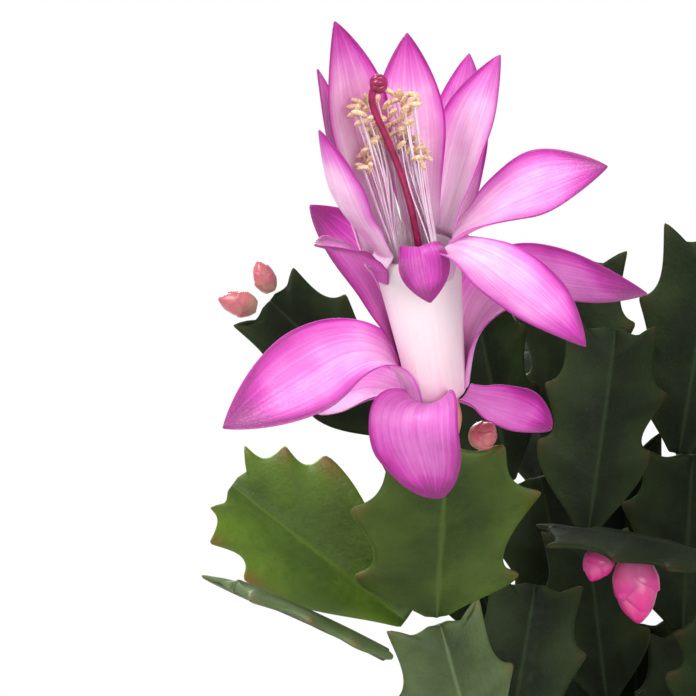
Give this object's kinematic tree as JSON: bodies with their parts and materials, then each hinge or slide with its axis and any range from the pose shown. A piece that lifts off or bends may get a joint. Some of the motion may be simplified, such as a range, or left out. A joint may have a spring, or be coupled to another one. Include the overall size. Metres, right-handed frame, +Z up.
{
  "type": "potted christmas cactus",
  "caption": "Potted Christmas cactus in bloom: flat toothed jointed stem segments arch out of soil in a tapered clay pot, with a tubular magenta flower and small buds.",
  "frame": {"origin": "centre of the pot's foot, on the surface it stands on", "axes": "+Z up along the pot's axis; -Y is the front, where the open flower stands; +X to the right seen from the front"},
  "size_m": [0.2646, 0.2595, 0.2772],
  "materials": {
    "clay": "matte",
    "soil": "matte",
    "segment": "satin",
    "old_stem": "satin",
    "ovary": "satin",
    "tube": "satin",
    "tepal": "satin",
    "style": "satin",
    "stamen": "matte",
    "bud": "satin"
  },
  "bodies": {
    "root": {"pot": "clay", "soil": "soil", "stem_front": "old_stem", "flower_stalk_segment": "segment", "front_right_segment": "segment", "flower_segment": "segment", "left_upper_segment": "segment", "left_lower_segment": "segment", "stem_left_back": "segment", "left_back_segment": "segment", "stem_middle_front": "segment", "middle_segment": "segment", "stem_middle_back": "segment", "tall_left_segment": "segment", "tall_right_segment": "segment", "stem_back": "segment", "stem_right_back": "segment", "tall_far_segment": "segment", "stem_right_front": "segment", "edge_on_segment": "segment", "outer_spray_1": "segment", "outer_spray_2": "segment", "outer_spray_3": "segment", "outer_spray_4": "segment", "outer_spray_5": "segment", "outer_spray_6": "segment", "outer_spray_7": "segment", "middle_spray_1": "segment", "middle_spray_2": "segment", "middle_spray_3": "segment", "middle_spray_4": "segment", "middle_spray_5": "segment", "middle_spray_6": "segment", "ovary": "ovary", "floral_tube": "tube", "lower_tepal_left": "tepal", "lower_tepal_back_left": "tepal", "lower_tepal_front": "tepal", "lower_tepal_right": "tepal", "lower_tepal_right_back": "tepal", "lower_tepal_back": "tepal", "upper_tepal_back_left": "tepal", "upper_tepal_back": "tepal", "upper_tepal_back_right_outer": "tepal", "upper_tepal_back_right": "tepal", "upper_tepal_right": "tepal", "upper_tepal_left_outer": "tepal", "upper_tepal_left": "tepal", "upper_tepal_front_left": "tepal", "upper_tepal_front": "tepal", "upper_tepal_front_right": "tepal", "pistil": "style", "stamens": "stamen", "bud_left_tip_small": "bud", "bud_left_tip": "bud", "bud_behind_flower": "bud", "bud_beside_ovary": "bud", "bud_hanging": "bud", "bud_hanging_small": "bud"}
  },
  "joints": []
}
